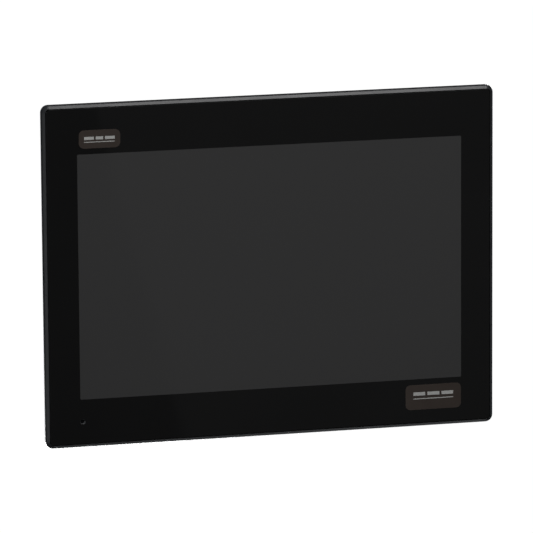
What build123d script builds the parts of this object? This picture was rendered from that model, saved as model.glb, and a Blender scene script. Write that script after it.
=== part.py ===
"""Panel-mount operator touch panel with a 12.1 inch wide display.

The row frame has +Z up, +X to the right as an operator faces the screen and +Y pointing back
through the cabinet panel. The origin is the centre of the panel cut-out, on the plane of the
bezel flange's rear face, which is the plane that the cabinet panel seats against.
Units are millimetres.
"""

import math
import os

from build123d import *

os.makedirs("parts", exist_ok=True)

# ---------------------------------------------------------------- driving dimensions
BEZEL_W, BEZEL_H, BEZEL_R = 308.3, 230.4, 5.0  # outline seen from the front
Y_FACE = -5.2  # front face of the glass
CUT_W, CUT_H = 295.0, 217.0  # cabinet cut-out that the body passes through
BODY_W, BODY_H, BODY_R = 294.0, 216.0, 3.0  # skirt and rim that pass through it
Y_SKIRT = 9.0  # end of the bezel's skirt
Y_RIM = 11.0  # back of the housing's rim
A_W, A_H, Y_A = 280.0, 196.0, 17.5  # shallow section of the housing
B_W, B_H, Y_B = 250.0, 152.0, 44.8  # raised electronics box
WALL = 2.2

BEVEL = 2.25  # width and depth of the bezel's front bevel
GLASS_W, GLASS_H, GLASS_T, GLASS_R = 302.6, 224.8, 1.8, 2.4
POCKET_W, POCKET_H, POCKET_R = 303.6, 225.8, 2.75
Y_LEDGE = -3.1  # floor of the glass pocket
WINDOW_W, WINDOW_H = 267.0, 169.0

LCD_W, LCD_H = 278.0, 184.0
Y_LCD0, Y_LCD1 = -0.8, 7.7

CLAMP_X, CLAMP_Z = 95.0, 103.2
BAY_Z = 98.0

LED_X, LED_Z = -129.4, -97.4

HOUSING_SCREWS = [(sx * x, sz * 103.0) for x in (45.0, 138.0) for sx in (-1, 1) for sz in (-1, 1)]
CHASSIS_SCREWS = [(x, sz * 99.0) for x in (-118.0, -62.0, 0.0, 62.0, 118.0) for sz in (-1, 1)]
BOARD_HOLES = [(sx * 112.0, z) for sx in (-1, 1) for z in (-44.0, 60.0)] + [
    (sx * 40.0, z) for sx in (-1, 1) for z in (-46.0, 60.0)
]

Y_CHASSIS = 8.9  # back of the chassis plate
Y_PCB0, Y_PCB1 = 19.0, 20.6  # main board
PCB_W, PCB_Z0, PCB_Z1 = 236.0, -71.0, 68.0

Z_PORT = -76.0  # outer face of the box's lower wall
RJ45_X = (4.0, 23.0, 88.0)
USB_A_X, USB_B_X = -34.0, -56.0
SERIAL_X, SERIAL_Y = 55.0, 28.0
POWER_X, POWER_Y = -88.0, 27.4
POLE = 5.08

DOOR_HX, DOOR_HY = -111.0, 43.2  # hinge axis of the service door, parallel to Z
DOOR_X1, DOOR_Z, DOOR_H = -59.2, -20.0, 42.0
SVC_X, SVC_Z, Y_SVC = -84.0, -20.0, 32.0  # service board
DIP_X, DIP_Z = -71.0, -12.0
RESET_X, RESET_Z = -71.0, -29.0

SD_Z = 30.0
TAIL_X0, TAIL_X1 = 20.0, 40.0


def at(y):
    """Sketch plane parallel to the screen, at depth y, with local axes X and Z."""
    return Plane.XZ.offset(-y)


def block(x0, x1, y0, y1, z0, z1, mode=Mode.ADD):
    """Rectangular block between the given limits."""
    with Locations(((x0 + x1) / 2, (y0 + y1) / 2, (z0 + z1) / 2)):
        Box(x1 - x0, y1 - y0, z1 - z0, mode=mode)


def rod(x, z, y0, y1, r, mode=Mode.ADD):
    """Round rod along Y."""
    with Locations((x, (y0 + y1) / 2, z)):
        Cylinder(r, y1 - y0, rotation=(90, 0, 0), mode=mode)


def pan_screws(places, y_seat, y_tip, r_shank, r_head, h_head):
    """Screws along Y whose heads sit on the plane y_seat, with a crossed recess."""
    for x, z in places:
        rod(x, z, y_tip, y_seat, r_shank)
        rod(x, z, y_seat, y_seat + h_head, r_head)
        block(x - 1.3, x + 1.3, y_seat + h_head - 0.8, y_seat + h_head, z - 0.3, z + 0.3, Mode.SUBTRACT)
        block(x - 0.3, x + 0.3, y_seat + h_head - 0.8, y_seat + h_head, z - 1.3, z + 1.3, Mode.SUBTRACT)


def save(builder, label):
    builder.part.label = label
    export_step(builder.part, f"parts/{label}.step")


def clamps():
    """(number, axis x, axis z, side): side is +1 on the top edge and -1 on the bottom edge."""
    places = [(-CLAMP_X, 1), (CLAMP_X, 1), (-CLAMP_X, -1), (CLAMP_X, -1)]
    return [(n + 1, x, s * CLAMP_Z, s) for n, (x, s) in enumerate(places)]


# ================================================================ front
with BuildPart() as bezel_frame:
    # flange with its bevelled, rounded front edge
    with BuildSketch(at(0)):
        RectangleRounded(BEZEL_W, BEZEL_H, BEZEL_R)
    extrude(amount=-Y_FACE)
    chamfer(bezel_frame.faces().sort_by(Axis.Y)[0].edges(), length=BEVEL)
    fillet(
        bezel_frame.edges().filter_by_position(
            Axis.Y, Y_FACE + BEVEL - 0.01, Y_FACE + BEVEL + 0.01
        ),
        radius=2.1,
    )
    chamfer(bezel_frame.faces().sort_by(Axis.Y)[-1].edges(), length=0.1)
    # skirt that passes through the cabinet cut-out
    with BuildSketch(at(Y_SKIRT)):
        RectangleRounded(BODY_W, BODY_H, BODY_R)
    extrude(amount=Y_SKIRT)
    # pocket for the glass
    with BuildSketch(at(Y_LEDGE)):
        RectangleRounded(POCKET_W, POCKET_H, POCKET_R)
    extrude(amount=4, mode=Mode.SUBTRACT)
    # inside of the skirt, leaving a wall round each clamp bay
    with BuildSketch(at(Y_SKIRT)):
        RectangleRounded(BODY_W - 5, BODY_H - 5, 1.5)
        for n, x, z, s in clamps():
            with Locations((x + s * 2.75, s * (BAY_Z + 6.0))):
                Rectangle(25.1, 17.0, mode=Mode.SUBTRACT)
    extrude(amount=Y_SKIRT + 1.2, mode=Mode.SUBTRACT)
    # clamp bays, open to the outside
    with BuildSketch(at(Y_SKIRT)):
        for n, x, z, s in clamps():
            with Locations((x + s * 2.75, s * (BAY_Z + 7.5))):
                Rectangle(20.5, 15.0)
    extrude(amount=Y_SKIRT, mode=Mode.SUBTRACT)
    # window behind the glass
    with BuildSketch(at(0)):
        RectangleRounded(WINDOW_W, WINDOW_H, 1.0)
    extrude(amount=8, mode=Mode.SUBTRACT)
    # bosses for the housing screws and the chassis screws
    with BuildSketch(at(Y_SKIRT)):
        with Locations(*HOUSING_SCREWS):
            Circle(3.6)
    extrude(amount=Y_SKIRT + 1.3)
    with BuildSketch(at(Y_LCD1)):
        with Locations(*CHASSIS_SCREWS):
            Circle(3.2)
    extrude(amount=Y_LCD1 + 1.3)
    # screw holes, and blind bearing holes for the tips of the clamp screws
    with BuildSketch(at(0)):
        with Locations(*[(x, z) for n, x, z, s in clamps()]):
            Circle(2.3)
    extrude(amount=2.1, mode=Mode.SUBTRACT)
    with BuildSketch(at(Y_SKIRT)):
        with Locations(*HOUSING_SCREWS):
            Circle(1.5)
    extrude(amount=8.2, mode=Mode.SUBTRACT)
    with BuildSketch(at(Y_LCD1)):
        with Locations(*CHASSIS_SCREWS):
            Circle(1.5)
    extrude(amount=7.0, mode=Mode.SUBTRACT)
    # passage in the ledge for the touch sensor's tail
    block(TAIL_X0 - 1, TAIL_X1 + 1, Y_LEDGE - 0.1, -1.0, -95.2, -84.0, Mode.SUBTRACT)
    # posts that carry the status light's board
    for dx in (-2.8, 5.2):
        rod(LED_X + dx, LED_Z - 4.6, -1.2, 4.6, 1.0)
    # groove for the panel gasket
    with BuildSketch(at(0)):
        RectangleRounded(304.4, 226.4, 4.0)
        RectangleRounded(297.0, 219.0, 3.5, mode=Mode.SUBTRACT)
    extrude(amount=0.8, mode=Mode.SUBTRACT)
    # light pipe hole
    with BuildSketch(at(0)):
        with Locations((LED_X, LED_Z)):
            Circle(1.7)
    extrude(amount=6, mode=Mode.SUBTRACT)
save(bezel_frame, "bezel_frame")

with BuildPart() as front_glass:
    with BuildSketch(at(Y_FACE + GLASS_T)):
        RectangleRounded(GLASS_W, GLASS_H, GLASS_R)
        with Locations((LED_X, LED_Z)):
            Circle(1.6, mode=Mode.SUBTRACT)
    extrude(amount=GLASS_T)
    chamfer(
        front_glass.faces().sort_by(Axis.Y)[0].edges().filter_by_position(Axis.Z, -120, 120),
        length=0.12,
    )
save(front_glass, "front_glass")

with BuildPart() as glass_tape:
    with BuildSketch(at(Y_LEDGE)):
        RectangleRounded(GLASS_W - 0.6, GLASS_H - 0.6, GLASS_R)
        RectangleRounded(WINDOW_W + 3, WINDOW_H + 3, 1.5, mode=Mode.SUBTRACT)
        with Locations((LED_X, LED_Z)):
            Circle(2.2, mode=Mode.SUBTRACT)
    extrude(amount=0.3)
save(glass_tape, "glass_tape")

with BuildPart() as touch_sensor:
    # sensor film bonded to the back of the glass; its tail folds back round the display
    block(-133.0, 133.0, -3.4, -3.0, -84.0, 84.0)
    block(TAIL_X0, TAIL_X1, -3.0, -2.8, -94.2, -82.0)
    block(TAIL_X0, TAIL_X1, -3.0, 13.0, -94.2, -94.0)
    block(TAIL_X0, TAIL_X1, 12.8, 13.0, -94.2, -66.0)
    block(TAIL_X0, TAIL_X1, 12.8, 18.0, -66.2, -66.0)
save(touch_sensor, "touch_sensor")

with BuildPart() as panel_gasket:
    with BuildSketch(at(0.6)):
        RectangleRounded(304.0, 226.0, 3.8)
        RectangleRounded(297.4, 219.4, 3.3, mode=Mode.SUBTRACT)
    extrude(amount=1.4)
    fillet(panel_gasket.faces().sort_by(Axis.Y)[-1].edges(), radius=0.3)
save(panel_gasket, "panel_gasket")

with BuildPart() as light_pipe:
    rod(LED_X, LED_Z, -3.5, 2.6, 1.45)
    rod(LED_X, LED_Z, -1.2, 0.0, 2.4)
save(light_pipe, "light_pipe")

with BuildPart() as status_led_board:
    block(LED_X - 4.2, LED_X + 6.6, 4.6, 5.6, LED_Z - 6.0, LED_Z + 3.0)
    block(LED_X - 1.6, LED_X + 1.6, 3.0, 4.6, LED_Z - 1.4, LED_Z + 1.4)
    for dx in (-2.8, 5.2):
        rod(LED_X + dx, LED_Z - 4.6, 5.6, 6.4, 1.2)
save(status_led_board, "status_led_board")

with BuildPart() as badge_plates:
    # blank name plates on the face of the glass
    for x, z, w, h, r in ((-115.65, 91.85, 27.9, 12.2, 3.7), (111.85, -94.95, 38.7, 17.1, 3.4)):
        with BuildSketch(at(Y_FACE)):
            with Locations((x, z)):
                RectangleRounded(w, h, r)
        extrude(amount=0.1)
save(badge_plates, "badge_plates")

# ================================================================ display module
with BuildPart() as lcd_foam:
    block(-137.0, 137.0, -1.2, -0.8, -90.0, 90.0)
    block(-134.0, 134.0, -1.2, -0.8, -85.3, 85.3, Mode.SUBTRACT)
save(lcd_foam, "lcd_foam")

with BuildPart() as lcd_front_frame:
    block(-139.0, 139.0, -0.8, 4.0, -92.0, 92.0)
    block(-138.5, 138.5, -0.3, 4.0, -91.5, 91.5, Mode.SUBTRACT)
    block(-131.8, 131.8, -0.8, -0.3, -82.9, 82.9, Mode.SUBTRACT)
    for x in (-120.0, -60.0, 0.0, 60.0, 120.0):
        for z in (-91.9, 91.9):
            block(x - 3, x + 3, 1.6, 3.2, z - 0.6, z + 0.6, Mode.SUBTRACT)
save(lcd_front_frame, "lcd_front_frame")

with BuildPart() as lcd_cell:
    block(-135.5, 135.5, -0.3, 0.4, -88.5, 88.5)
    block(-135.5, 135.5, 0.4, 1.1, -85.5, 88.5)
save(lcd_cell, "lcd_cell")

with BuildPart() as backlight_sheets:
    block(-135.3, 135.3, 1.1, 1.9, -88.4, 88.4)
    block(-135.3, 135.3, 4.9, 5.2, -88.4, 88.4)
save(backlight_sheets, "backlight_sheets")

with BuildPart() as light_guide:
    block(-135.2, 135.2, 1.9, 4.9, -83.6, 88.3)
save(light_guide, "light_guide")

with BuildPart() as led_bar:
    block(-134.0, 134.0, 2.0, 4.8, -88.2, -87.2)
    for i in range(28):
        x = -128.25 + 9.5 * i
        block(x - 2.2, x + 2.2, 2.2, 4.6, -87.2, -84.0)
save(led_bar, "led_bar")

with BuildPart() as lcd_back_tray:
    block(-138.4, 138.4, 0.6, 6.0, -91.4, 91.4)
    block(-135.7, 135.7, 0.6, 5.2, -88.7, 88.7, Mode.SUBTRACT)
    # pressed pads that the chassis plate bears on
    for x in (-118.0, 0.0, 118.0):
        for z in (-20.0, 70.0):
            block(x - 10, x + 10, 6.0, Y_LCD1, z - 7, z + 7)
    # pressed stiffening channels
    for x in (-80.0, -40.0, 40.0, 80.0):
        block(x - 4, x + 4, 5.7, 6.0, -20.0, 80.0, Mode.SUBTRACT)
save(lcd_back_tray, "lcd_back_tray")

with BuildPart() as lcd_driver_board:
    block(-118.0, 118.0, 6.0, 6.8, -88.0, -70.0)
    for x in (-95.0, -50.0, 20.0, 65.0, 100.0):
        block(x - 5, x + 5, 6.8, 7.5, -83.0, -76.0)
    block(-40.0, -14.0, 6.8, 7.5, -76.0, -71.0)
save(lcd_driver_board, "lcd_driver_board")

with BuildPart() as display_flex:
    # ribbon from the display's board, through the chassis plate, to the main board
    block(-38.0, -16.0, 7.2, 7.4, -71.0, -64.0)
    block(-38.0, -16.0, 7.2, 18.0, -64.2, -64.0)
save(display_flex, "display_flex")

# ================================================================ chassis and boards
with BuildPart() as chassis_plate:
    block(-142.0, 142.0, Y_LCD1, Y_CHASSIS, -94.0, 94.0)
    for x, z in CHASSIS_SCREWS:
        s = 1 if z > 0 else -1
        block(x - 6, x + 6, Y_LCD1, Y_CHASSIS, min(s * 92.0, s * 102.6), max(s * 92.0, s * 102.6))
    for x, z in CHASSIS_SCREWS:
        rod(x, z, Y_LCD1, Y_CHASSIS, 1.7, Mode.SUBTRACT)
    block(TAIL_X0 - 1.5, TAIL_X1 + 1.5, Y_LCD1, Y_CHASSIS, -94.5, -92.8, Mode.SUBTRACT)
    block(-41.0, -13.0, Y_LCD1, Y_CHASSIS, -72.0, -62.5, Mode.SUBTRACT)
    for x in (-92.0, -20.0, 20.0, 92.0):
        for z in (-20.0, 30.0):
            with BuildSketch(at(Y_CHASSIS)):
                with Locations((x, z)):
                    RectangleRounded(24.0, 30.0, 6.0)
            extrude(amount=1.2, mode=Mode.SUBTRACT)
save(chassis_plate, "chassis_plate")

with BuildPart() as chassis_screws:
    pan_screws(CHASSIS_SCREWS, Y_CHASSIS, 1.6, 1.45, 2.7, 1.7)
save(chassis_screws, "chassis_screws")

with BuildPart() as board_standoffs:
    with BuildSketch(at(Y_PCB0)):
        with Locations(*BOARD_HOLES):
            RegularPolygon(3.0, 6)
            Circle(1.5, mode=Mode.SUBTRACT)
    extrude(amount=Y_PCB0 - Y_CHASSIS)
save(board_standoffs, "board_standoffs")

with BuildPart() as main_board:
    block(-PCB_W / 2, PCB_W / 2, Y_PCB0, Y_PCB1, PCB_Z0, PCB_Z1)
    for x, z in BOARD_HOLES:
        rod(x, z, Y_PCB0, Y_PCB1, 1.7, Mode.SUBTRACT)
save(main_board, "main_board")

with BuildPart() as board_screws:
    pan_screws(BOARD_HOLES, Y_PCB1, 13.0, 1.45, 2.7, 1.9)
save(board_screws, "board_screws")

with BuildPart() as board_parts:
    # processor, memory, power stage, sounder and sockets for the two flat cables
    block(-14.0, 14.0, Y_PCB1, 22.8, 6.0, 34.0)
    for x in (24.0, 40.0):
        for z in (30.0, 14.0):
            block(x - 5, x + 5, Y_PCB1, 21.8, z - 6, z + 6)
    block(-60.0, -40.0, Y_PCB1, 22.2, 38.0, 52.0)
    for x, z in ((-106.0, 30.0), (-96.0, 30.0), (-86.0, 30.0), (-106.0, 44.0)):
        rod(x, z, Y_PCB1, 31.5, 4.0)
    for x, z in ((-72.0, 30.0), (-72.0, 46.0)):
        block(x - 6, x + 6, Y_PCB1, 27.0, z - 6, z + 6)
    rod(70.0, -20.0, Y_PCB1, 28.0, 6.0)
    rod(70.0, -20.0, 27.0, 28.0, 1.2, Mode.SUBTRACT)
    for x in (10.0, 26.0, 60.0):
        block(x - 5, x + 5, Y_PCB1, 22.4, -44.0, -34.0)
    for i in range(6):
        block(-26.0 + 9 * i, -23.5 + 9 * i, Y_PCB1, 21.6, -20.0, -15.0)
    block(TAIL_X0 - 2, TAIL_X1 + 2, 17.0, Y_PCB0, -66.0, -60.0)
    block(-40.0, -14.0, 17.0, Y_PCB0, -64.0, -58.0)
save(board_parts, "board_parts")

with BuildPart() as heatsink:
    block(-26.0, 26.0, 22.8, 25.8, -4.0, 44.0)
    for i in range(11):
        x = -25.2 + 5.04 * i
        block(x - 0.8, x + 0.8, 25.8, 35.0, -4.0, 44.0)
save(heatsink, "heatsink")

with BuildPart() as ethernet_jacks:
    for x in RJ45_X:
        block(x - 8.0, x + 8.0, Y_PCB1, 34.0, Z_PORT - 0.2, -54.8)
        block(x - 5.9, x + 5.9, 23.4, 31.8, Z_PORT - 0.2, -64.0, Mode.SUBTRACT)
        block(x - 3.1, x + 3.1, 31.8, 33.1, Z_PORT - 0.2, -64.0, Mode.SUBTRACT)
        for i in range(8):
            xc = x - 3.57 + 1.02 * i
            block(xc - 0.25, xc + 0.25, 23.4, 24.6, -72.0, -64.0)
save(ethernet_jacks, "ethernet_jacks")

with BuildPart() as usb_sockets:
    block(USB_A_X - 7.2, USB_A_X + 7.2, Y_PCB1, 27.7, Z_PORT - 0.2, -62.0)
    block(USB_A_X - 6.5, USB_A_X + 6.5, 21.3, 27.0, Z_PORT - 0.2, -65.0, Mode.SUBTRACT)
    block(USB_A_X - 5.6, USB_A_X + 5.6, 24.7, 26.5, -74.0, -65.0)
    block(USB_B_X - 6.0, USB_B_X + 6.0, Y_PCB1, 31.5, Z_PORT - 0.2, -60.0)
    block(USB_B_X - 4.4, USB_B_X + 4.4, 22.0, 30.0, Z_PORT - 0.2, -66.0, Mode.SUBTRACT)
    block(USB_B_X - 2.8, USB_B_X + 2.8, 24.4, 27.6, -74.5, -66.0)
save(usb_sockets, "usb_sockets")

with BuildPart() as serial_socket:
    # nine-way D socket with its two jack posts
    block(SERIAL_X - 15.4, SERIAL_X + 15.4, 21.6, 34.1, -73.6, -72.8)
    block(SERIAL_X - 9.5, SERIAL_X + 9.5, Y_PCB1, 33.0, -72.8, -60.0)
    with BuildSketch(Plane.XY.offset(-82.0)):
        with BuildLine():
            Polyline(
                (SERIAL_X - 8.3, SERIAL_Y + 4.1),
                (SERIAL_X + 8.3, SERIAL_Y + 4.1),
                (SERIAL_X + 6.9, SERIAL_Y - 4.1),
                (SERIAL_X - 6.9, SERIAL_Y - 4.1),
                close=True,
            )
        make_face()
    extrude(amount=9.0)
    fillet(
        serial_socket.edges().filter_by(Axis.Z).filter_by_position(Axis.Z, -79, -76),
        radius=1.6,
    )
    for i in range(5):
        with Locations((SERIAL_X - 5.54 + 2.77 * i, SERIAL_Y + 1.42, -80.0)):
            Cylinder(0.55, 4.0, mode=Mode.SUBTRACT)
    for i in range(4):
        with Locations((SERIAL_X - 4.155 + 2.77 * i, SERIAL_Y - 1.42, -80.0)):
            Cylinder(0.55, 4.0, mode=Mode.SUBTRACT)
    for dx in (-12.495, 12.495):
        with BuildSketch(Plane.XY.offset(-81.0)):
            with Locations((SERIAL_X + dx, SERIAL_Y)):
                RegularPolygon(2.75, 6)
        extrude(amount=4.9)
        with Locations((SERIAL_X + dx, SERIAL_Y, -75.0)):
            Cylinder(1.5, 4.4)
        with Locations((SERIAL_X + dx, SERIAL_Y, -78.4)):
            Cylinder(1.2, 5.4, mode=Mode.SUBTRACT)
save(serial_socket, "serial_socket")

with BuildPart() as power_header:
    block(POWER_X - 9.6, POWER_X + 9.6, Y_PCB1, 33.4, Z_PORT, -62.0)
    block(POWER_X - 8.5, POWER_X + 8.5, 21.8, 32.2, Z_PORT, -64.0, Mode.SUBTRACT)
    for i in (-1, 0, 1):
        x = POWER_X + POLE * i
        block(x - 0.5, x + 0.5, 26.5, 27.5, -72.0, -64.0)
save(power_header, "power_header")

with BuildPart() as sd_socket:
    block(92.0, 121.8, Y_PCB1, 24.6, SD_Z - 14.0, SD_Z + 14.0)
    block(93.4, 121.8, 21.3, 24.1, SD_Z - 12.4, SD_Z + 12.4, Mode.SUBTRACT)
    block(100.0, 116.0, 24.1, 24.6, SD_Z - 6.0, SD_Z + 6.0, Mode.SUBTRACT)
save(sd_socket, "sd_socket")

with BuildPart() as sd_card:
    with BuildSketch(at(23.75)):
        with BuildLine():
            Polyline(
                (94.5, SD_Z - 12.0), (126.6, SD_Z - 12.0), (126.6, SD_Z + 12.0),
                (98.5, SD_Z + 12.0), (94.5, SD_Z + 8.0), close=True,
            )
        make_face()
    extrude(amount=2.1)
    block(124.6, 125.4, 23.45, 23.75, SD_Z - 9.0, SD_Z + 9.0, Mode.SUBTRACT)
save(sd_card, "sd_card")

# ================================================================ rear housing
with BuildPart() as rear_housing:
    with BuildSketch(at(Y_B)):
        RectangleRounded(B_W, B_H, 7.0)
    extrude(amount=Y_B - Y_RIM)
    fillet(rear_housing.faces().sort_by(Axis.Y)[-1].edges(), radius=3.0)
    with BuildSketch(at(Y_A)):
        RectangleRounded(A_W, A_H, 6.0)
    extrude(amount=Y_A - Y_RIM)
    fillet(
        rear_housing.edges()
        .filter_by_position(Axis.Y, Y_A - 0.01, Y_A + 0.01)
        .filter_by(lambda e: abs(e.center().X) > 126.0 or abs(e.center().Z) > 77.0),
        radius=1.5,
    )
    with BuildSketch(at(Y_RIM)):
        RectangleRounded(BODY_W, BODY_H, BODY_R)
    extrude(amount=Y_RIM - Y_SKIRT)
    # covers over the chassis screw heads
    for x, z in CHASSIS_SCREWS:
        rod(x, z, Y_SKIRT, 12.6, 4.7)
    # lugs that hold the heads of the clamp screws
    for n, x, z, s in clamps():
        block(x - 6, x + 6, 12.6, 17.0, min(s * 97.0, s * 107.8), max(s * 97.0, s * 107.8))
    # hollow interior
    with BuildSketch(at(Y_A - WALL)):
        RectangleRounded(A_W - 2 * WALL, A_H - 2 * WALL, 4.0)
    extrude(amount=Y_A, mode=Mode.SUBTRACT)
    with BuildSketch(at(Y_B - WALL)):
        RectangleRounded(B_W - 2 * WALL, B_H - 2 * WALL, 5.0)
    extrude(amount=Y_B, mode=Mode.SUBTRACT)
    # clamp bays and the clearance bores in their lugs
    for n, x, z, s in clamps():
        block(
            x + s * 2.75 - 10.25, x + s * 2.75 + 10.25, Y_SKIRT, Y_RIM,
            min(s * 98.0, s * 113.0), max(s * 98.0, s * 113.0), Mode.SUBTRACT,
        )
        rod(x, z, 12.6, 17.0, 2.3, Mode.SUBTRACT)
    # pockets over the chassis screw heads, and the housing screw holes
    for x, z in CHASSIS_SCREWS:
        rod(x, z, Y_SKIRT, 11.2, 3.4, Mode.SUBTRACT)
    for x, z in HOUSING_SCREWS:
        rod(x, z, Y_SKIRT, Y_RIM, 1.7, Mode.SUBTRACT)
    # service compartment: walls and floor inside the box, hinge ends, board posts
    block(-110.2, -57.8, 28.4, Y_B - WALL, -42.2, 2.2)
    block(-115.0, -107.0, 40.2, Y_B - WALL, -46.0, 6.0)
    block(-108.4, -59.6, 30.0, Y_B, -40.4, 0.4, Mode.SUBTRACT)
    block(-113.3, -59.0, 42.4, Y_B, -41.2, 1.2, Mode.SUBTRACT)
    block(-113.3, -108.0, 41.2, Y_B, -41.2, 1.2, Mode.SUBTRACT)
    with Locations((DOOR_HX, DOOR_HY, DOOR_Z)):
        Cylinder(0.8, DOOR_H + 6.0, mode=Mode.SUBTRACT)
    for x in (-105.4, -62.6):
        for z in (-37.4, -2.6):
            rod(x, z, 30.0, 31.0, 1.8)
    block(-104.0, -84.0, 28.0, 30.4, -7.2, -2.0, Mode.SUBTRACT)
    # bolt bosses on the 75 mm square pattern
    for x in (-37.5, 37.5):
        for z in (-37.5, 37.5):
            rod(x, z, 36.4, Y_B - WALL + 0.1, 4.6)
            rod(x, z, 36.8, Y_B, 2.0, Mode.SUBTRACT)
    # port openings in the lower wall
    for x in RJ45_X:
        block(x - 8.3, x + 8.3, 20.3, 34.3, -77.0, -73.0, Mode.SUBTRACT)
    block(USB_A_X - 7.5, USB_A_X + 7.5, 20.3, 28.0, -77.0, -73.0, Mode.SUBTRACT)
    block(USB_B_X - 6.3, USB_B_X + 6.3, 20.3, 31.8, -77.0, -73.0, Mode.SUBTRACT)
    block(SERIAL_X - 9.2, SERIAL_X + 9.2, SERIAL_Y - 5.0, SERIAL_Y + 5.0, -77.0, -73.0, Mode.SUBTRACT)
    for dx in (-12.495, 12.495):
        with Locations((SERIAL_X + dx, SERIAL_Y, -75.0)):
            Cylinder(1.8, 4.0, mode=Mode.SUBTRACT)
    block(POWER_X - 9.9, POWER_X + 9.9, 20.3, 33.7, -77.0, -73.0, Mode.SUBTRACT)
    # card opening in the side wall
    block(122.0, 126.0, 21.3, 24.1, SD_Z - 12.5, SD_Z + 12.5, Mode.SUBTRACT)
    # ventilation slots: top wall, back wall and the free part of the lower wall
    for i in range(22):
        x = -94.5 + 9.0 * i
        block(x - 1.6, x + 1.6, 24.0, 38.0, 73.0, 77.0, Mode.SUBTRACT)
    for i in range(8):
        z = -30.0 + 7.0 * i
        block(62.0, 108.0, Y_B - 3.0, Y_B, z - 1.3, z + 1.3, Mode.SUBTRACT)
    for i in range(10):
        x = -63.0 + 9.0 * i
        block(x - 1.6, x + 1.6, 36.2, 40.2, -77.0, -73.0, Mode.SUBTRACT)
save(rear_housing, "rear_housing")

with BuildPart() as housing_screws:
    pan_screws(HOUSING_SCREWS, Y_RIM, 1.6, 1.45, 2.75, 2.2)
save(housing_screws, "housing_screws")

with BuildPart() as rating_label:
    with BuildSketch(at(Y_B + 0.2)):
        with Locations((-84.0, 40.0)):
            RectangleRounded(54.0, 34.0, 1.5)
    extrude(amount=0.2)
save(rating_label, "rating_label")

# ================================================================ service compartment
with BuildPart() as service_door:
    block(DOOR_HX, -59.3, 42.6, Y_B, DOOR_Z - 20.9, DOOR_Z + 20.9)
    block(-62.5, -59.3, 42.6, Y_B, DOOR_Z - 6.0, DOOR_Z + 6.0, Mode.SUBTRACT)
    block(-62.6, -61.4, 42.6, Y_B, DOOR_Z - 6.0, DOOR_Z + 6.0)
    with Locations((DOOR_HX, DOOR_HY, DOOR_Z)):
        Cylinder(1.6, 41.8)
        Cylinder(1.0, 41.8, mode=Mode.SUBTRACT)
save(service_door, "service_door")

with BuildPart() as door_pin:
    with Locations((DOOR_HX, DOOR_HY, DOOR_Z)):
        Cylinder(0.75, DOOR_H + 5.0)
save(door_pin, "door_pin")

with BuildPart() as service_board:
    block(-108.0, -60.0, 31.0, Y_SVC, -40.0, 0.0)
    block(-102.0, -86.0, 20.8, 31.0, -6.6, -2.6)
    # body of the reset switch
    block(RESET_X - 3.1, RESET_X + 3.1, Y_SVC, 35.4, RESET_Z - 3.1, RESET_Z + 3.1)
    rod(RESET_X, RESET_Z, 33.0, 35.4, 1.95, Mode.SUBTRACT)
    for z in (-18.0, -21.0):
        block(-79.0, -76.0, Y_SVC, 33.0, z - 0.7, z + 0.7)
save(service_board, "service_board")

with BuildPart() as battery_holder:
    rod(-93.0, -20.0, Y_SVC, 36.6, 12.2)
    rod(-93.0, -20.0, 32.9, 36.6, 10.3, Mode.SUBTRACT)
    block(-99.0, -87.0, 33.6, 36.6, -34.0, -28.0, Mode.SUBTRACT)
    block(-96.0, -90.0, 36.4, 37.0, -12.6, -6.4)
    block(-96.0, -90.0, Y_SVC, 37.0, -8.6, -7.8)
save(battery_holder, "battery_holder")

with BuildPart() as coin_cell:
    rod(-93.0, -20.0, 32.9, 35.5, 9.2)
    rod(-93.0, -20.0, 33.2, 36.1, 10.0)
save(coin_cell, "coin_cell")

with BuildPart() as mode_switch:
    block(DIP_X - 3.6, DIP_X + 3.6, Y_SVC, 35.6, DIP_Z - 3.6, DIP_Z + 3.6)
    block(DIP_X - 1.2, DIP_X + 1.2, 33.8, 35.6, DIP_Z - 2.6, DIP_Z + 2.6, Mode.SUBTRACT)
save(mode_switch, "mode_switch")

with BuildPart() as switch_slider:
    block(DIP_X - 0.9, DIP_X + 0.9, 34.1, 37.0, DIP_Z - 2.3, DIP_Z - 0.3)
save(switch_slider, "switch_slider")

with BuildPart() as reset_button:
    rod(RESET_X, RESET_Z, 34.0, 37.6, 1.7)
    fillet(reset_button.edges().group_by(Axis.Y)[-1], radius=0.3)
save(reset_button, "reset_button")

# ================================================================ power plug
with BuildPart() as power_plug:
    block(POWER_X - 8.4, POWER_X + 8.4, 20.4, 34.8, -92.4, Z_PORT - 0.4)
    block(POWER_X - 8.2, POWER_X + 8.2, 22.1, 31.9, Z_PORT - 0.4, -66.8)
    chamfer(power_plug.faces().sort_by(Axis.Z)[0].edges(), length=0.8)
    for i in (-1, 0, 1):
        x = POWER_X + POLE * i
        # wire entry, clamp pocket, screw bore and the hole for the header's pin
        block(x - 1.7, x + 1.7, 23.0, 26.4, -92.4, -88.0, Mode.SUBTRACT)
        block(x - 2.25, x + 2.25, 21.6, 29.4, -88.4, -81.6, Mode.SUBTRACT)
        rod(x, -85.0, 29.0, 34.8, 1.4, Mode.SUBTRACT)
        rod(x, -85.0, 31.7, 34.8, 2.15, Mode.SUBTRACT)
        block(x - 0.9, x + 0.9, 26.1, 27.9, -76.0, -66.8, Mode.SUBTRACT)
    for i in range(5):
        block(POWER_X - 9.0, POWER_X - 8.1, 22.4, 32.8, -90.6 + 2.4 * i, -89.4 + 2.4 * i, Mode.SUBTRACT)
        block(POWER_X + 8.1, POWER_X + 9.0, 22.4, 32.8, -90.6 + 2.4 * i, -89.4 + 2.4 * i, Mode.SUBTRACT)
save(power_plug, "power_plug")

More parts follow.
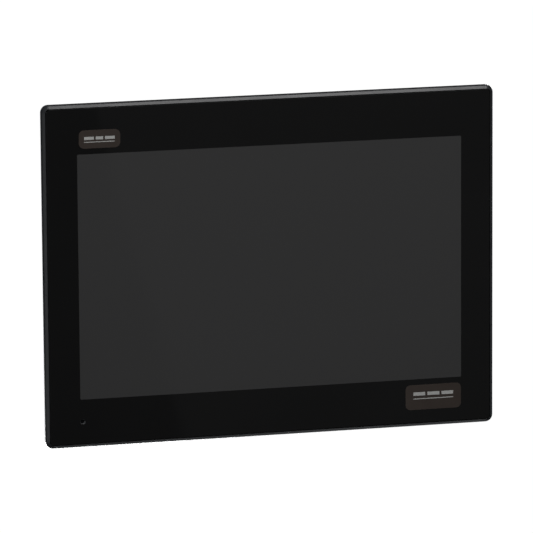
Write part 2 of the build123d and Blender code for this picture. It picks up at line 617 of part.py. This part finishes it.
for i in (1, 2, 3):
    x = POWER_X + POLE * (i - 2)
    with BuildPart() as wire_cage:
        block(x - 2.0, x + 2.0, 21.9, 27.3, -87.8, -82.2)
        block(x - 1.5, x + 1.5, 22.6, 25.9, -87.8, -82.2, Mode.SUBTRACT)
        rod(x, -85.0, 25.8, 27.3, 1.3, Mode.SUBTRACT)
    save(wire_cage, f"wire_cage_{i}")
    with BuildPart() as terminal_screw:
        rod(x, -85.0, 26.4, 32.0, 1.1)
        rod(x, -85.0, 32.0, 33.8, 1.9)
        block(x - 2.2, x + 2.2, 33.0, 33.8, -85.25, -84.75, Mode.SUBTRACT)
    save(terminal_screw, f"terminal_screw_{i}")

# ================================================================ panel clamps
for n, x, z, s in clamps():
    with BuildPart() as clamp_screw:
        rod(x, z, -1.6, 17.2, 2.0)
        rod(x, z, 17.2, 20.0, 3.5)
        with BuildSketch(at(20.0)):
            with Locations((x, z)):
                RegularPolygon(1.75, 6)
        extrude(amount=2.2, mode=Mode.SUBTRACT)
    save(clamp_screw, f"clamp_screw_{n}")

    with BuildPart() as clamp_nut:
        rod(x, z, 7.7, 12.0, 3.0)
        rod(x, z, 11.9, 12.4, 3.9)
        rod(x, z, 7.7, 12.4, 2.25, Mode.SUBTRACT)
    save(clamp_nut, f"clamp_nut_{n}")

    with BuildPart() as clamp_lever:
        # stowed lever lies along the edge of the body, its tip pointing along s
        rod(x, z, 8.0, 11.6, 4.6)
        block(min(x, x + s * 9.5), max(x, x + s * 9.5), 8.0, 11.6, z - 4.0, z + 4.0)
        block(
            min(x + s * 6.5, x + s * 9.5), max(x + s * 6.5, x + s * 9.5), 7.2, 8.0, z - 4.0, z + 4.0
        )
        rod(x, z, 7.0, 12.0, 3.25, Mode.SUBTRACT)
    save(clamp_lever, f"clamp_lever_{n}")
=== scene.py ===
import math

import bpy
from mathutils import Matrix, Vector


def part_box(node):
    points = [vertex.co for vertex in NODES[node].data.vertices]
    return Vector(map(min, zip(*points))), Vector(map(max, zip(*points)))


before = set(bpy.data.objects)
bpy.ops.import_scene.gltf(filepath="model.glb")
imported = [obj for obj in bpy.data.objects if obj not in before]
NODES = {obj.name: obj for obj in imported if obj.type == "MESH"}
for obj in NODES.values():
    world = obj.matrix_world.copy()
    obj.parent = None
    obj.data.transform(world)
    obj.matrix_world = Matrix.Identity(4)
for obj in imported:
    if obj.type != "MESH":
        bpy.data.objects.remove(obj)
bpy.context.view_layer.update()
MM = 0.001


# ------------------------------------------------------------------ shader helpers
class Graph:
    """A material's node tree, with short ways to add the nodes that the finishes share."""

    def __init__(self, name):
        self.mat = bpy.data.materials.new(name)
        self.mat.use_nodes = True
        self.nt = self.mat.node_tree
        self.nt.nodes.clear()
        self.out = self.nt.nodes.new("ShaderNodeOutputMaterial")
        self.bsdf = self.nt.nodes.new("ShaderNodeBsdfPrincipled")
        self.nt.links.new(self.bsdf.outputs[0], self.out.inputs[0])
        self.co = self.nt.nodes.new("ShaderNodeTexCoord").outputs["Object"]

    def link(self, a, b):
        self.nt.links.new(a, b)

    def node(self, kind, **props):
        n = self.nt.nodes.new(kind)
        for k, v in props.items():
            setattr(n, k, v)
        return n

    def put(self, socket, value):
        if isinstance(value, bpy.types.NodeSocket):
            self.link(value, socket)
        else:
            socket.default_value = value

    def math(self, op, a, b=0.0, c=0.0, clamp=False):
        n = self.node("ShaderNodeMath", operation=op, use_clamp=clamp)
        for i, v in enumerate((a, b, c)):
            self.put(n.inputs[i], v)
        return n.outputs[0]

    def scaled(self, sx, sy, sz, co=None):
        n = self.node("ShaderNodeVectorMath", operation="MULTIPLY")
        self.put(n.inputs[0], co or self.co)
        n.inputs[1].default_value = (sx, sy, sz)
        return n.outputs[0]

    def xyz(self):
        n = self.node("ShaderNodeSeparateXYZ")
        self.link(self.co, n.inputs[0])
        return n.outputs[0], n.outputs[1], n.outputs[2]

    def noise(self, scale, detail=3.0, rough=0.5, co=None):
        n = self.node("ShaderNodeTexNoise")
        self.put(n.inputs["Vector"], co or self.co)
        n.inputs["Scale"].default_value = scale
        n.inputs["Detail"].default_value = detail
        n.inputs["Roughness"].default_value = rough
        return n.outputs["Fac"]

    def spots(self, scale, co=None):
        n = self.node("ShaderNodeTexVoronoi")
        self.put(n.inputs["Vector"], co or self.co)
        n.inputs["Scale"].default_value = scale
        return n.outputs["Distance"]

    def remap(self, value, a, b, lo, hi):
        n = self.node("ShaderNodeMapRange")
        n.clamp = True
        self.put(n.inputs["Value"], value)
        for key, v in (("From Min", a), ("From Max", b), ("To Min", lo), ("To Max", hi)):
            n.inputs[key].default_value = v
        return n.outputs[0]

    def mix(self, fac, a, b):
        n = self.node("ShaderNodeMix", data_type="RGBA")
        self.put(n.inputs[0], fac)
        self.put(n.inputs[6], a if isinstance(a, bpy.types.NodeSocket) else (*a[:3], 1.0))
        self.put(n.inputs[7], b if isinstance(b, bpy.types.NodeSocket) else (*b[:3], 1.0))
        return n.outputs[2]

    def edges(self, radius):
        """Rounded normal, and a mask that is 1 on edges and 0 on open faces."""
        bev = self.node("ShaderNodeBevel")
        bev.samples = 4
        bev.inputs["Radius"].default_value = radius
        geo = self.node("ShaderNodeNewGeometry")
        dot = self.node("ShaderNodeVectorMath", operation="DOT_PRODUCT")
        self.link(bev.outputs[0], dot.inputs[0])
        self.link(geo.outputs["Normal"], dot.inputs[1])
        return bev.outputs[0], self.remap(dot.outputs["Value"], 0.995, 0.82, 0.0, 1.0)

    def bump(self, height, distance, strength=1.0, normal=None):
        n = self.node("ShaderNodeBump")
        n.inputs["Strength"].default_value = strength
        n.inputs["Distance"].default_value = distance
        self.put(n.inputs["Height"], height)
        if normal is not None:
            self.link(normal, n.inputs["Normal"])
        return n.outputs[0]

    def box_mask(self, x0, x1, z0, z1, soft=0.00008):
        """1 inside a rectangle of the row's X and Z, with a soft edge."""
        x, _, z = self.xyz()
        fx = self.math("SUBTRACT", (x1 - x0) / 2, self.math("ABSOLUTE", self.math("SUBTRACT", x, (x0 + x1) / 2)))
        fz = self.math("SUBTRACT", (z1 - z0) / 2, self.math("ABSOLUTE", self.math("SUBTRACT", z, (z0 + z1) / 2)))
        return self.remap(self.math("MINIMUM", fx, fz), -soft, soft, 0.0, 1.0)


def rounded_mask(g, cx, cz, w, h, r, soft):
    """1 inside a rounded rectangle of the row's X and Z, with a soft edge."""
    x, _, z = g.xyz()
    qx = g.math("SUBTRACT", g.math("ABSOLUTE", g.math("SUBTRACT", x, cx)), w / 2 - r)
    qz = g.math("SUBTRACT", g.math("ABSOLUTE", g.math("SUBTRACT", z, cz)), h / 2 - r)
    ax, az_ = g.math("MAXIMUM", qx, 0.0), g.math("MAXIMUM", qz, 0.0)
    out = g.math("SQRT", g.math("ADD", g.math("MULTIPLY", ax, ax), g.math("MULTIPLY", az_, az_)))
    inner = g.math("MINIMUM", g.math("MAXIMUM", qx, qz), 0.0)
    dist = g.math("SUBTRACT", g.math("ADD", out, inner), r)
    return g.remap(dist, soft, -soft, 0.0, 1.0)


def moulded(name, colour, rough=0.5, grain=1400.0, depth=0.00002, spread=0.12, wear=0.35,
            radius=0.0003, spec=0.5, tint=None, sub=0.0):
    """Moulded plastic: a fine texture, cloudy gloss, faint dust, and edges rubbed smoother and paler."""
    g = Graph(name)
    normal, edge = g.edges(radius)
    cloud = g.noise(35.0, 4.0, 0.6)
    fine = g.noise(grain, 2.0, 0.6)
    dust = g.remap(g.noise(420.0, 5.0, 0.7), 0.56, 0.8, 0.0, 1.0)
    pale = tint or [min(1.0, c * 1.7 + 0.012) for c in colour]
    base = g.mix(g.remap(cloud, 0.3, 0.7, 0.0, 1.0), [c * 0.9 for c in colour], [c * 1.1 for c in colour])
    base = g.mix(g.math("MULTIPLY", dust, 0.12), base, [min(1.0, c * 1.5 + 0.02) for c in colour])
    scuff = g.remap(g.noise(160.0, 4.0, 0.7), 0.35, 0.65, 0.4, 1.0)
    base = g.mix(g.math("MULTIPLY", g.math("MULTIPLY", edge, scuff), wear), base, pale)
    g.link(base, g.bsdf.inputs["Base Color"])
    r = g.remap(cloud, 0.25, 0.75, rough - spread / 2, rough + spread / 2)
    r = g.math("SUBTRACT", r, g.math("MULTIPLY", edge, 0.12), clamp=True)
    g.link(r, g.bsdf.inputs["Roughness"])
    g.bsdf.inputs["Specular IOR Level"].default_value = spec
    if sub:
        g.bsdf.inputs["Subsurface Weight"].default_value = sub
        g.bsdf.inputs["Subsurface Radius"].default_value = (0.001, 0.001, 0.001)
    g.link(g.bump(fine, depth, 0.6, normal), g.bsdf.inputs["Normal"])
    return g.mat


def metal(name, colour, rough=0.32, along=(1.0, 1.0, 1.0), lines=700.0, depth=0.000006, spangle=0.0,
          radius=0.00025, wear=0.5, thread=None):
    """Plated or machined metal: fine tool lines or a rolled grain, stains, and bright rubbed edges."""
    g = Graph(name)
    normal, edge = g.edges(radius)
    streak = g.noise(lines, 3.0, 0.6, g.scaled(*along))
    cloud = g.noise(60.0, 5.0, 0.65)
    dark = [c * 0.72 for c in colour]
    base = g.mix(g.remap(cloud, 0.3, 0.7, 0.0, 1.0), dark, colour)
    if spangle:
        cells = g.node("ShaderNodeTexVoronoi")
        g.link(g.co, cells.inputs["Vector"])
        cells.inputs["Scale"].default_value = spangle
        base = g.mix(g.math("MULTIPLY", cells.outputs["Color"], 0.25), base, [min(1.0, c * 1.25) for c in colour])
    base = g.mix(g.math("MULTIPLY", edge, wear), base, [min(1.0, c * 1.35) for c in colour])
    g.link(base, g.bsdf.inputs["Base Color"])
    g.bsdf.inputs["Metallic"].default_value = 1.0
    r = g.remap(g.math("ADD", g.math("MULTIPLY", streak, 0.5), g.math("MULTIPLY", cloud, 0.5)), 0.3, 0.7, rough - 0.08, rough + 0.12)
    g.link(r, g.bsdf.inputs["Roughness"])
    n = g.bump(streak, depth, 0.7, normal)
    if thread:
        y = g.xyz()[1]
        wave = g.math("PINGPONG", g.math("MULTIPLY", y, 2.0 / thread), 1.0)
        n = g.bump(wave, 0.0003, 1.0, n)
    g.link(n, g.bsdf.inputs["Normal"])
    return g.mat


# ------------------------------------------------------------------ finishes
def front_glass_material():
    """Toughened glass: black print round a clear window, with the switched-off display dark grey behind it; the display
    grey is painted lighter towards the top right as painted light, and the glass's outer rim is painted near-black as
    painted shade.
    """
    g = Graph("front_glass_black_print")
    lo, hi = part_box("front_glass")
    cx, cz = (lo.x + hi.x) / 2 + 0.22 * MM, (lo.z + hi.z) / 2 - 0.26 * MM
    window = rounded_mask(g, cx, cz, 262.2 * MM, 164.4 * MM, 0.8 * MM, 0.12 * MM)
    x, y, z = g.xyz()
    # Painted light: the display grey is painted darker towards the bottom left and lighter towards the top right.
    painted_light_falloff = g.remap(g.math("ADD", g.math("MULTIPLY", x, 0.55), z), -0.15, 0.15, 0.0, 1.0)
    haze = g.noise(9.0, 3.0, 0.5)
    screen = g.mix(painted_light_falloff, WINDOW_PAINTED_SHADE, WINDOW_PAINTED_LIGHT)
    screen = g.mix(g.remap(haze, 0.35, 0.65, 0.0, 0.10), screen, [c * 1.12 for c in WINDOW_PAINTED_LIGHT])
    grid = g.math("MULTIPLY", g.math("SINE", g.math("MULTIPLY", x, 2 * math.pi / 0.000204)),
                  g.math("SINE", g.math("MULTIPLY", z, 2 * math.pi / 0.000204)))
    screen = g.mix(g.remap(grid, -1.0, 1.0, 0.0, 0.06), screen, [c * 0.8 for c in WINDOW_PAINTED_SHADE])
    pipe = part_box("light_pipe")
    px, pz = (pipe[0].x + pipe[1].x) / 2, (pipe[0].z + pipe[1].z) / 2
    hx, hz = g.math("SUBTRACT", x, px), g.math("SUBTRACT", z, pz)
    away = g.math("SQRT", g.math("ADD", g.math("MULTIPLY", hx, hx), g.math("MULTIPLY", hz, hz)))
    bore = g.math("MULTIPLY", g.remap(away, 1.75 * MM, 1.65 * MM, 0.0, 1.0), g.remap(y, lo.y + 0.02 * MM, lo.y + 0.08 * MM, 0.0, 1.0))
    print_ = g.mix(g.remap(haze, 0.35, 0.65, 0.0, 1.0), [c * 0.93 for c in PRINT], [c * 1.07 for c in PRINT])
    # Painted shade: the glass's outermost 0.1 to 0.16 mm and its edges are painted near-black and made rough, standing
    # in for the shade in the groove between the glass and the bezel.
    rx = g.math("SUBTRACT", g.math("ABSOLUTE", x), (hi.x - lo.x) / 2)
    rz = g.math("SUBTRACT", g.math("ABSOLUTE", z), (hi.z - lo.z) / 2)
    groove_shade_rim = g.remap(g.math("MAXIMUM", rx, rz), -0.16 * MM, -0.10 * MM, 0.0, 1.0)
    face = g.mix(groove_shade_rim, g.mix(window, print_, screen), (0.0015, 0.0015, 0.0016))
    g.link(g.mix(bore, face, (0.16, 0.165, 0.17)), g.bsdf.inputs["Base Color"])
    smear = g.noise(22.0, 5.0, 0.6, g.scaled(1.0, 1.0, 2.4))
    polish = g.remap(smear, 0.35, 0.7, 0.022, 0.05)
    g.link(g.math("MAXIMUM", polish, g.math("MULTIPLY", g.math("MAXIMUM", groove_shade_rim, bore), 0.75)), g.bsdf.inputs["Roughness"])
    g.bsdf.inputs["IOR"].default_value = 1.5
    normal, edge = g.edges(0.00015)
    g.link(g.bump(g.noise(6.0, 1.0, 0.4), 0.000004, 1.0, normal), g.bsdf.inputs["Normal"])
    return g.mat


def badge_material():
    """Blank name plates: satin brown-black film with plain neutral bars."""
    g = Graph("badge_film_brown")
    cloud = g.noise(90.0, 4.0, 0.6)
    base = g.mix(g.remap(cloud, 0.3, 0.7, 0.0, 1.0), [c * 0.95 for c in BADGE], [c * 1.05 for c in BADGE])
    bars = None
    for x0, x1, z0, z1 in BARS:
        m = g.box_mask(x0 * MM, x1 * MM, z0 * MM, z1 * MM, 0.00009)
        bars = m if bars is None else g.math("MAXIMUM", bars, m)
    base = g.mix(g.math("MULTIPLY", bars, 0.85), base, INK)
    g.link(base, g.bsdf.inputs["Base Color"])
    g.link(g.remap(cloud, 0.3, 0.7, 0.33, 0.42), g.bsdf.inputs["Roughness"])
    g.bsdf.inputs["Specular IOR Level"].default_value = 0.35
    g.link(g.bump(g.noise(2600.0, 2.0, 0.5), 0.000004, 0.5), g.bsdf.inputs["Normal"])
    return g.mat


def board_material(name, colour):
    """Circuit board: solder mask over copper tracks, vias, and pads."""
    g = Graph(name)
    brick = g.node("ShaderNodeTexBrick")
    co = g.node("ShaderNodeCombineXYZ")
    x, y, z = g.xyz()
    g.link(x, co.inputs[0]); g.link(z, co.inputs[1])
    g.link(co.outputs[0], brick.inputs["Vector"])
    brick.inputs["Scale"].default_value = 130.0
    brick.inputs["Mortar Size"].default_value = 0.045
    brick.inputs["Brick Width"].default_value = 1.7
    vor = g.node("ShaderNodeTexVoronoi", distance="MANHATTAN")
    g.link(co.outputs[0], vor.inputs["Vector"])
    vor.inputs["Scale"].default_value = 210.0
    tracks = g.math("MAXIMUM", brick.outputs["Fac"], g.remap(vor.outputs["Distance"], 0.05, 0.02, 0.0, 1.0))
    base = g.mix(g.math("MULTIPLY", tracks, 0.55), colour, [colour[0] * 1.9 + 0.02, colour[1] * 1.7 + 0.03, colour[2] * 1.5])
    vias = g.remap(vor.outputs["Distance"], 0.028, 0.018, 0.0, 1.0)
    base = g.mix(g.math("MULTIPLY", vias, 0.9), base, (0.6, 0.55, 0.42))
    g.link(base, g.bsdf.inputs["Base Color"])
    g.link(g.remap(g.noise(80.0, 3.0), 0.3, 0.7, 0.28, 0.42), g.bsdf.inputs["Roughness"])
    g.link(g.bump(tracks, 0.00003, 0.6), g.bsdf.inputs["Normal"])
    return g.mat


def clear_material(name, tint=(0.9, 0.92, 0.94)):
    g = Graph(name)
    g.bsdf.inputs["Base Color"].default_value = (*tint, 1.0)
    g.bsdf.inputs["IOR"].default_value = 1.49
    g.bsdf.inputs["Transmission Weight"].default_value = 0.75
    g.link(g.remap(g.noise(300.0, 3.0), 0.3, 0.7, 0.08, 0.22), g.bsdf.inputs["Roughness"])
    normal, edge = g.edges(0.0002)
    g.link(g.bump(g.noise(900.0, 2.0), 0.00001, 0.4, normal), g.bsdf.inputs["Normal"])
    return g.mat


def label_material():
    """Blank rating label: silver-grey film with plain neutral blocks where print would be."""
    g = Graph("rating_label_film")
    lo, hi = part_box("rating_label")
    w, h = hi.x - lo.x, hi.z - lo.z
    base = g.mix(g.remap(g.noise(500.0, 4.0), 0.3, 0.7, 0.0, 1.0), (0.36, 0.365, 0.37), (0.43, 0.435, 0.44))
    marks = None
    for a, b, c, d in ((0.06, 0.94, 0.80, 0.81), (0.06, 0.94, 0.50, 0.51), (0.06, 0.40, 0.64, 0.70), (0.06, 0.62, 0.38, 0.42),
                       (0.06, 0.55, 0.26, 0.30), (0.06, 0.58, 0.14, 0.18), (0.70, 0.92, 0.14, 0.40)):
        m = g.box_mask(lo.x + a * w, lo.x + b * w, lo.z + c * h, lo.z + d * h, 0.0001)
        marks = m if marks is None else g.math("MAXIMUM", marks, m)
    base = g.mix(g.math("MULTIPLY", marks, 0.75), base, (0.06, 0.06, 0.065))
    g.link(base, g.bsdf.inputs["Base Color"])
    g.bsdf.inputs["Metallic"].default_value = 0.3
    g.link(g.remap(g.noise(120.0, 3.0), 0.3, 0.7, 0.38, 0.5), g.bsdf.inputs["Roughness"])
    g.link(g.bump(g.noise(1500.0, 2.0), 0.000006, 0.5), g.bsdf.inputs["Normal"])
    return g.mat


PRINT = (0.0097, 0.0095, 0.0092)
# The two ends of the display's painted light gradient: the darker bottom-left grey and the lighter top-right grey.
WINDOW_PAINTED_SHADE = (0.0588, 0.0583, 0.0578)
WINDOW_PAINTED_LIGHT = (0.0615, 0.0610, 0.0605)
BADGE = (0.0590, 0.0468, 0.0400)
INK = (0.62, 0.62, 0.60)
BARS = [
    (-126.0, -119.4, 91.5, 93.5), (-118.2, -113.2, 91.5, 93.5), (-112.0, -105.4, 91.5, 93.5), (-126.0, -105.4, 89.7, 90.2),
    (98.0, 106.2, -93.8, -91.5), (107.7, 116.1, -93.8, -91.5), (117.6, 125.8, -93.8, -91.5), (98.0, 125.8, -96.3, -95.7),
]

BEZEL = moulded("bezel_moulded_grey", (0.028, 0.0290, 0.0310), rough=0.30, grain=1500.0, depth=0.000010, wear=0.18, radius=0.0003, spec=0.5)
HOUSING = moulded("housing_moulded_grey", (0.070, 0.071, 0.075), rough=0.55, grain=900.0, depth=0.00004, wear=0.3, radius=0.0005)
DOOR = moulded("door_moulded_grey", (0.078, 0.079, 0.083), rough=0.52, grain=900.0, depth=0.00004, wear=0.4, radius=0.0004)
RUBBER = moulded("gasket_foam_rubber", (0.020, 0.020, 0.021), rough=0.85, grain=2200.0, depth=0.00008, wear=0.1, spec=0.25)
FOAM = moulded("foam_tape_black", (0.015, 0.015, 0.015), rough=0.9, grain=1800.0, depth=0.00008, wear=0.05, spec=0.2)
PLATE = metal("zinc_plated_sheet", (0.60, 0.61, 0.62), rough=0.34, along=(1.0, 1.0, 14.0), spangle=110.0)
TRAY = metal("pressed_tray_sheet", (0.66, 0.67, 0.69), rough=0.30, along=(12.0, 1.0, 1.0))
SCREW = metal("screw_zinc", (0.62, 0.62, 0.60), rough=0.28, along=(1.0, 8.0, 1.0), lines=1500.0, radius=0.00015)
CLAMP_SCREW = metal("clamp_screw_zinc_threaded", (0.58, 0.58, 0.57), rough=0.3, along=(1.0, 8.0, 1.0), lines=1500.0, thread=0.0007)
CLAMP = metal("clamp_zinc_casting", (0.50, 0.51, 0.52), rough=0.46, lines=900.0, depth=0.00003, radius=0.0004)
BRASS = metal("machined_brass", (0.74, 0.56, 0.26), rough=0.26, along=(1.0, 10.0, 1.0), lines=1600.0)
SHELL = metal("tin_plated_shell", (0.66, 0.66, 0.64), rough=0.27, along=(10.0, 1.0, 1.0), lines=1200.0)
FINS = metal("heatsink_black_anodised", (0.10, 0.10, 0.105), rough=0.45, along=(1.0, 1.0, 12.0), wear=0.7)
CELL = metal("coin_cell_can", (0.70, 0.70, 0.69), rough=0.2, along=(1.0, 1.0, 1.0), lines=1400.0)
GREEN = moulded("terminal_green_nylon", (0.020, 0.16, 0.055), rough=0.42, grain=1300.0, depth=0.000015, wear=0.35, sub=0.05)
BLACK = moulded("component_black", (0.022, 0.022, 0.024), rough=0.5, grain=1700.0, depth=0.00002, wear=0.4)
SWITCH = moulded("switch_black_nylon", (0.020, 0.020, 0.022), rough=0.45, grain=1600.0, depth=0.00001, wear=0.3)
WHITE = moulded("slider_white_nylon", (0.72, 0.72, 0.69), rough=0.4, grain=1600.0, depth=0.00001, wear=0.2)
RED = moulded("button_red_nylon", (0.36, 0.025, 0.018), rough=0.38, grain=1600.0, depth=0.00001, wear=0.3)
CARD = moulded("card_shell_navy", (0.016, 0.020, 0.045), rough=0.4, grain=1500.0, depth=0.00001, wear=0.35)
PALE = moulded("diffuser_film_white", (0.78, 0.78, 0.77), rough=0.6, grain=2500.0, depth=0.000004, wear=0.05)
SENSOR = moulded("sensor_film_grey", (0.030, 0.031, 0.033), rough=0.25, grain=2500.0, depth=0.000003, wear=0.1)
DISPLAY = moulded("display_cell_polariser", (0.020, 0.021, 0.024), rough=0.22, grain=2500.0, depth=0.000003, wear=0.2)
FLEX = moulded("flex_amber_film", (0.34, 0.13, 0.018), rough=0.3, grain=700.0, depth=0.00002, wear=0.1)
LEDS = moulded("led_strip_white", (0.70, 0.66, 0.42), rough=0.35, grain=1200.0, depth=0.00002, wear=0.1)
BOARD = board_material("board_green_mask", (0.008, 0.075, 0.030))
CLEAR = clear_material("clear_acrylic")
# Painted shade: the status light pipe is painted near-black, standing in for the shade inside the deep hole it sits in.
PIPE_PAINTED_SHADE = moulded("status_light_painted_shade", (0.0045, 0.0047, 0.0050), rough=0.3, grain=1800.0, depth=0.00001, wear=0.1, spec=0.35)

FINISH = {
    "bezel_frame": BEZEL, "front_glass": front_glass_material(), "badge_plates": badge_material(),
    "glass_tape": FOAM, "lcd_foam": FOAM, "touch_sensor": SENSOR, "panel_gasket": RUBBER, "light_pipe": PIPE_PAINTED_SHADE,
    "status_led_board": BOARD, "lcd_front_frame": PLATE, "lcd_cell": DISPLAY, "backlight_sheets": PALE,
    "light_guide": CLEAR, "led_bar": LEDS, "lcd_back_tray": TRAY, "lcd_driver_board": BOARD, "display_flex": FLEX,
    "chassis_plate": PLATE, "chassis_screws": SCREW, "board_standoffs": BRASS, "main_board": BOARD,
    "board_screws": SCREW, "board_parts": BLACK, "heatsink": FINS, "ethernet_jacks": SHELL, "usb_sockets": SHELL,
    "serial_socket": SHELL, "power_header": GREEN, "sd_socket": SHELL, "rear_housing": HOUSING, "housing_screws": SCREW,
    "rating_label": label_material(), "service_board": BOARD, "battery_holder": BLACK, "coin_cell": CELL,
    "mode_switch": SWITCH, "switch_slider": WHITE, "reset_button": RED, "power_plug": GREEN, "service_door": DOOR,
    "door_pin": SCREW, "sd_card": CARD,
}
for i in (1, 2, 3):
    FINISH[f"wire_cage_{i}"] = BRASS
    FINISH[f"terminal_screw_{i}"] = SCREW
for n in (1, 2, 3, 4):
    FINISH[f"clamp_screw_{n}"] = CLAMP_SCREW
    FINISH[f"clamp_nut_{n}"] = BRASS
    FINISH[f"clamp_lever_{n}"] = CLAMP

for name, ob in NODES.items():
    ob.data.materials.clear()
    ob.data.materials.append(FINISH[name])
    ob.data.shade_smooth()
    ob.data.set_sharp_from_angle(angle=math.radians(32))


# ------------------------------------------------------------------ stage, light and camera
def area(name, place, target, size, power, colour=(1, 1, 1), size_y=None, glossy=True):
    data = bpy.data.lights.new(name, "AREA")
    data.shape = "RECTANGLE"
    data.size, data.size_y = size, size_y or size
    data.energy = power
    data.color = colour
    ob = bpy.data.objects.new(name, data)
    bpy.context.scene.collection.objects.link(ob)
    ob.location = place
    ob.rotation_mode = "QUATERNION"
    ob.rotation_quaternion = (Vector(target) - Vector(place)).to_track_quat("-Z", "Y")
    ob.visible_camera = False
    ob.visible_glossy = glossy
    return ob


floor_mesh = bpy.data.meshes.new("floor")
s, fz = 60.0, -2.4
floor_mesh.from_pydata([(-s, -s, fz), (s, -s, fz), (s, s, fz), (-s, s, fz)], [], [(0, 1, 2, 3)])
floor = bpy.data.objects.new("floor", floor_mesh)
bpy.context.scene.collection.objects.link(floor)
fm = bpy.data.materials.new("floor_pale")
fm.use_nodes = True
fb = fm.node_tree.nodes["Principled BSDF"]
fb.inputs["Base Color"].default_value = (0.9, 0.9, 0.9, 1.0)
fb.inputs["Roughness"].default_value = 0.9
fb.inputs["Emission Color"].default_value = (1.0, 1.0, 1.0, 1.0)
fb.inputs["Emission Strength"].default_value = 1.0
floor_mesh.materials.append(fm)
floor.visible_glossy = False
floor.visible_diffuse = False

world = bpy.data.worlds.new("studio")
bpy.context.scene.world = world
world.use_nodes = True
wn = world.node_tree
wn.nodes.clear()
wo = wn.nodes.new("ShaderNodeOutputWorld")
seen = wn.nodes.new("ShaderNodeBackground")
seen.inputs[0].default_value = (1, 1, 1, 1)
fill = wn.nodes.new("ShaderNodeBackground")
fill.inputs[0].default_value = (0.020, 0.022, 0.026, 1)
lp = wn.nodes.new("ShaderNodeLightPath")
mx = wn.nodes.new("ShaderNodeMixShader")
wn.links.new(lp.outputs["Is Camera Ray"], mx.inputs[0])
wn.links.new(fill.outputs[0], mx.inputs[1])
wn.links.new(seen.outputs[0], mx.inputs[2])
wn.links.new(mx.outputs[0], wo.inputs[0])

area("overhead", (0.49, -0.65, 1.83), (0, 0, 0), 1.0, 14.5)
area("front_fill", (-1.6, -2.6, 1.4), (0, 0, 0), 1.6, 42.0)
area("left_side", (-2.12, -0.80, -0.45), (0, 0, 0), 0.6, 1.75, (0.96, 0.98, 1.0))
area("right_side", (2.25, 0.25, -0.4), (0, 0, 0), 0.5, 0.45, (0.88, 0.94, 1.0))
area("rear_key", (0.0, 2.8, -1.5), (0, 0, 0), 1.4, 105.0)
area("right_rear", (1.4, 3.1, -0.1), (0, 0, 0), 0.6, 16.0)
area("under", (0.5, 0.12, -1.95), (0, 0, 0), 0.7, 1.15, (0.94, 0.97, 1.0))


def card(name, edge_a, edge_b, width, power, colour=(1, 1, 1)):
    """A large dim panel in front of the object, its left edge running from edge_a to edge_b."""
    a, b = Vector(edge_a), Vector(edge_b)
    down = (b - a).normalized()
    across = down.cross(Vector((0, -1, 0))).normalized()
    if across.x < 0:
        across = -across
    mid = (a + b) / 2 + across * (width / 2)
    normal = Vector((0, 1, 0))
    data = bpy.data.lights.new(name, "AREA")
    data.shape = "RECTANGLE"
    data.size, data.size_y = width, 2.4
    data.energy, data.color = power, colour
    ob = bpy.data.objects.new(name, data)
    bpy.context.scene.collection.objects.link(ob)
    zaxis = -normal
    yaxis = -down
    xaxis = yaxis.cross(zaxis).normalized()
    mm_ = Matrix((xaxis, yaxis, zaxis)).transposed().to_4x4()
    mm_.translation = mid
    ob.matrix_world = mm_
    ob.visible_camera = False
    return ob


card("glass_card", (0.4336, -2.5, -0.3206), (0.526, -2.5, -0.687), 1.6, 0.4)

scene = bpy.context.scene
scene.view_settings.view_transform = "Standard"
scene.view_settings.look = "None"

az, el, roll = math.radians(-14.237), math.radians(11.025), math.radians(-0.401)
lens_px, dist = 5326.22, 3.5378
glass_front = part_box("front_glass")[0].y
aim = Vector((-3.265 * MM, glass_front, 0.36 * MM))
back = Vector((math.sin(az) * math.cos(el), -math.cos(az) * math.cos(el), math.sin(el)))
right = (-back).cross(Vector((0, 0, 1))).normalized()
up = right.cross(-back)
r2 = right * math.cos(roll) + up * math.sin(roll)
u2 = up * math.cos(roll) - right * math.sin(roll)
cam_data = bpy.data.cameras.new("camera")
cam = bpy.data.objects.new("camera", cam_data)
scene.collection.objects.link(cam)
m = Matrix((r2, u2, back)).transposed().to_4x4()
m.translation = aim + back * dist
cam.matrix_world = m
cam_data.sensor_width = 36.0
cam_data.lens = lens_px / 533.0 * 36.0
cam_data.clip_start, cam_data.clip_end = 0.1, 200.0
cam_data.dof.use_dof = False
scene.camera = cam

bpy.context.view_layer.update()
